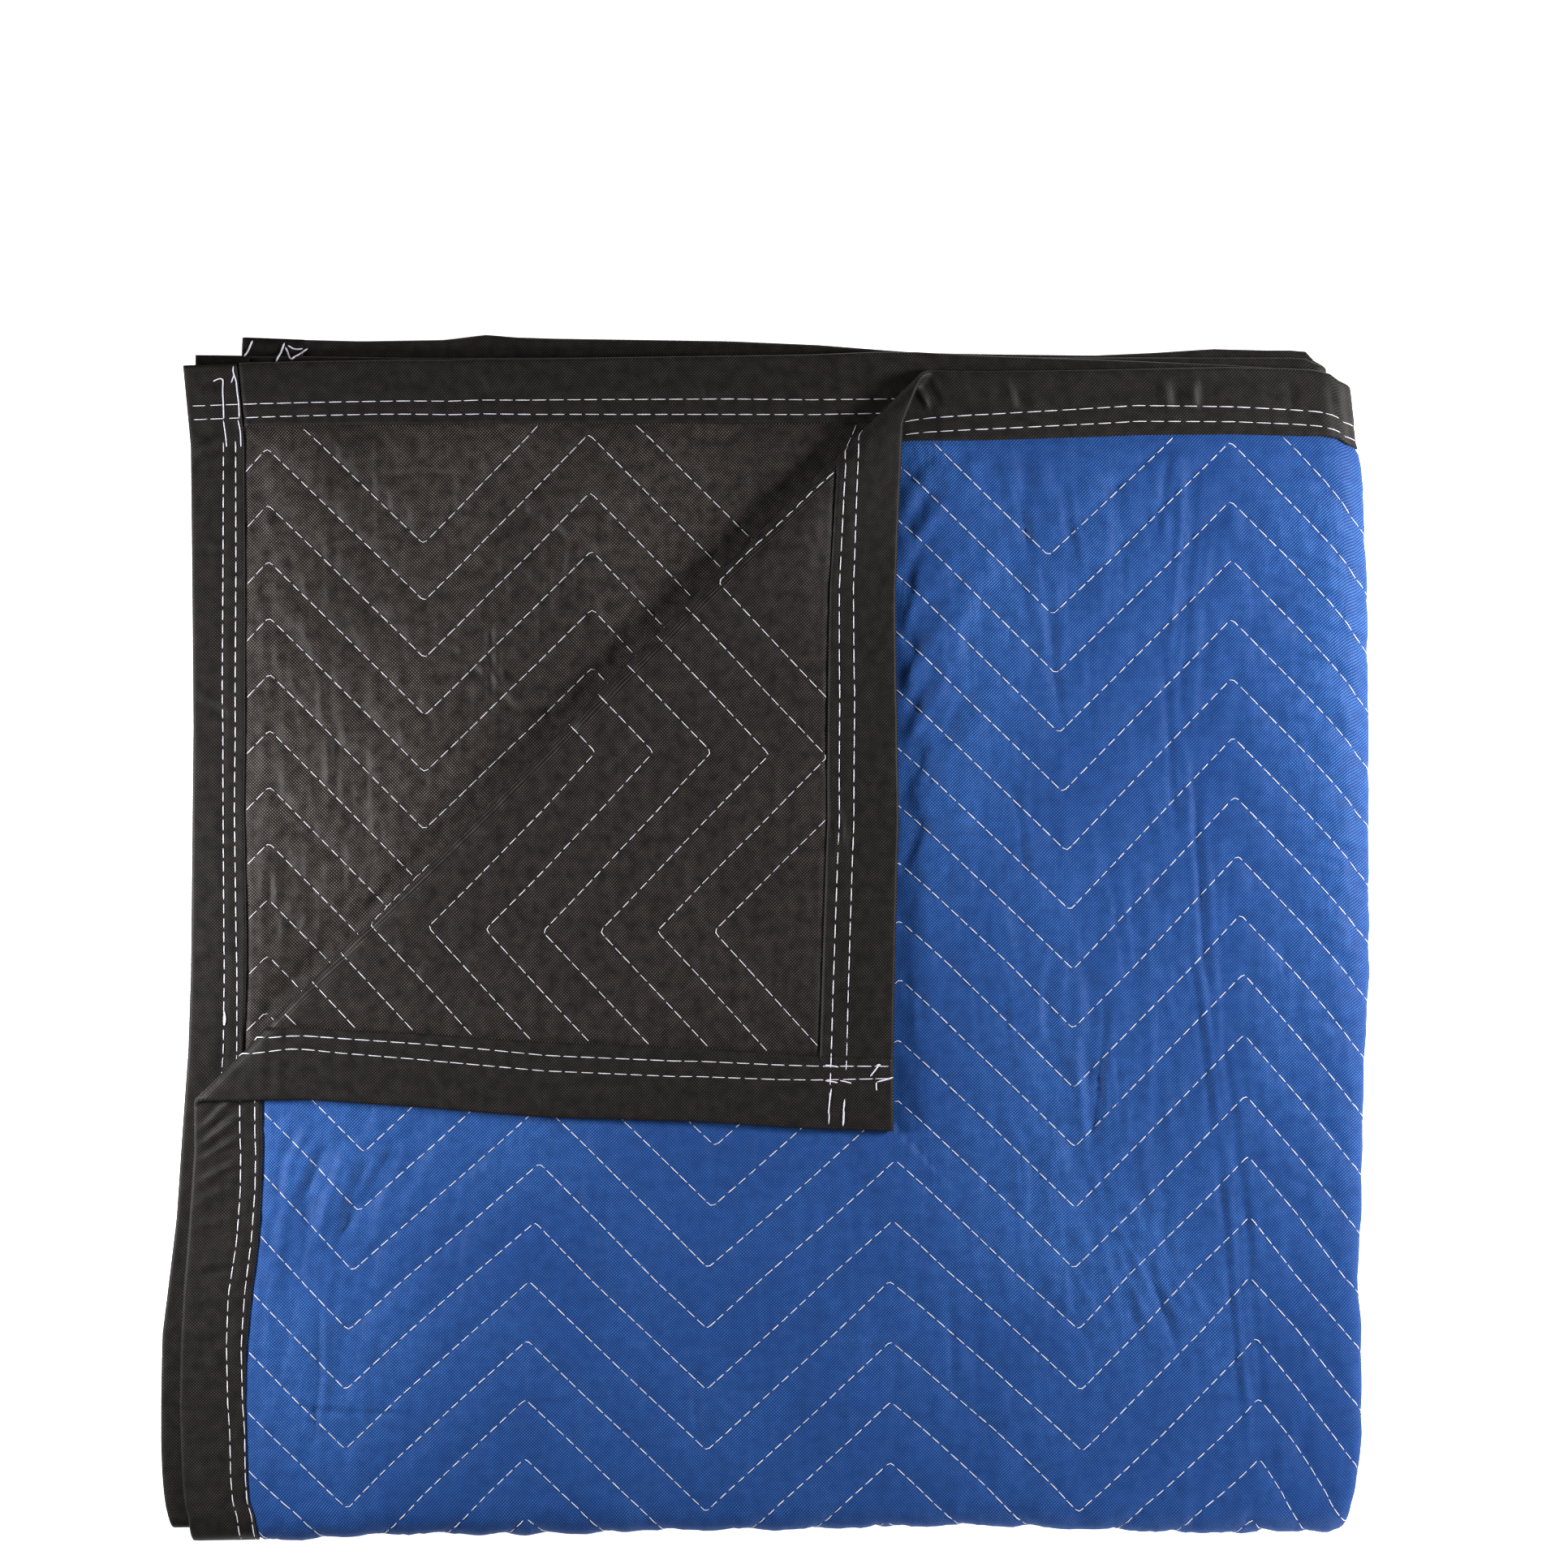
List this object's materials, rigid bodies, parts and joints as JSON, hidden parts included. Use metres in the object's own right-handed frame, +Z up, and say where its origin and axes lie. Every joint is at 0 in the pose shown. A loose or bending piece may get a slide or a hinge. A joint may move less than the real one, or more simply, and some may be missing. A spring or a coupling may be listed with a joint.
{
  "type": "folded moving blanket",
  "caption": "Quilted moving blanket with a blue face, a black back and bound edges, folded in quarters with its top corner turned back.",
  "frame": {"origin": "centre of the bounding box on the surface that the folded blanket rests on", "axes": "+Z up through the layers; -X towards the open bound side edges, +X towards the folded edge, -Y towards the other folded edge, +Y towards the open bound end edges"},
  "size_m": [0.932, 0.932, 0.0406],
  "materials": {
    "blue_quilted_cloth": "Blue nonwoven face cloth, quilted in chevrons with white thread through padding to a black nonwoven back; matt with a faint sheen.",
    "black_binding_tape": "Black embossed nonwoven tape folded round the edges and held by two rows of white stitching; matt."
  },
  "bodies": {
    "root": {"quilted_panel": "blue_quilted_cloth", "binding_over_end": "black_binding_tape", "binding_under_end": "black_binding_tape", "binding_outer_side": "black_binding_tape", "binding_inner_side": "black_binding_tape"}
  },
  "joints": []
}
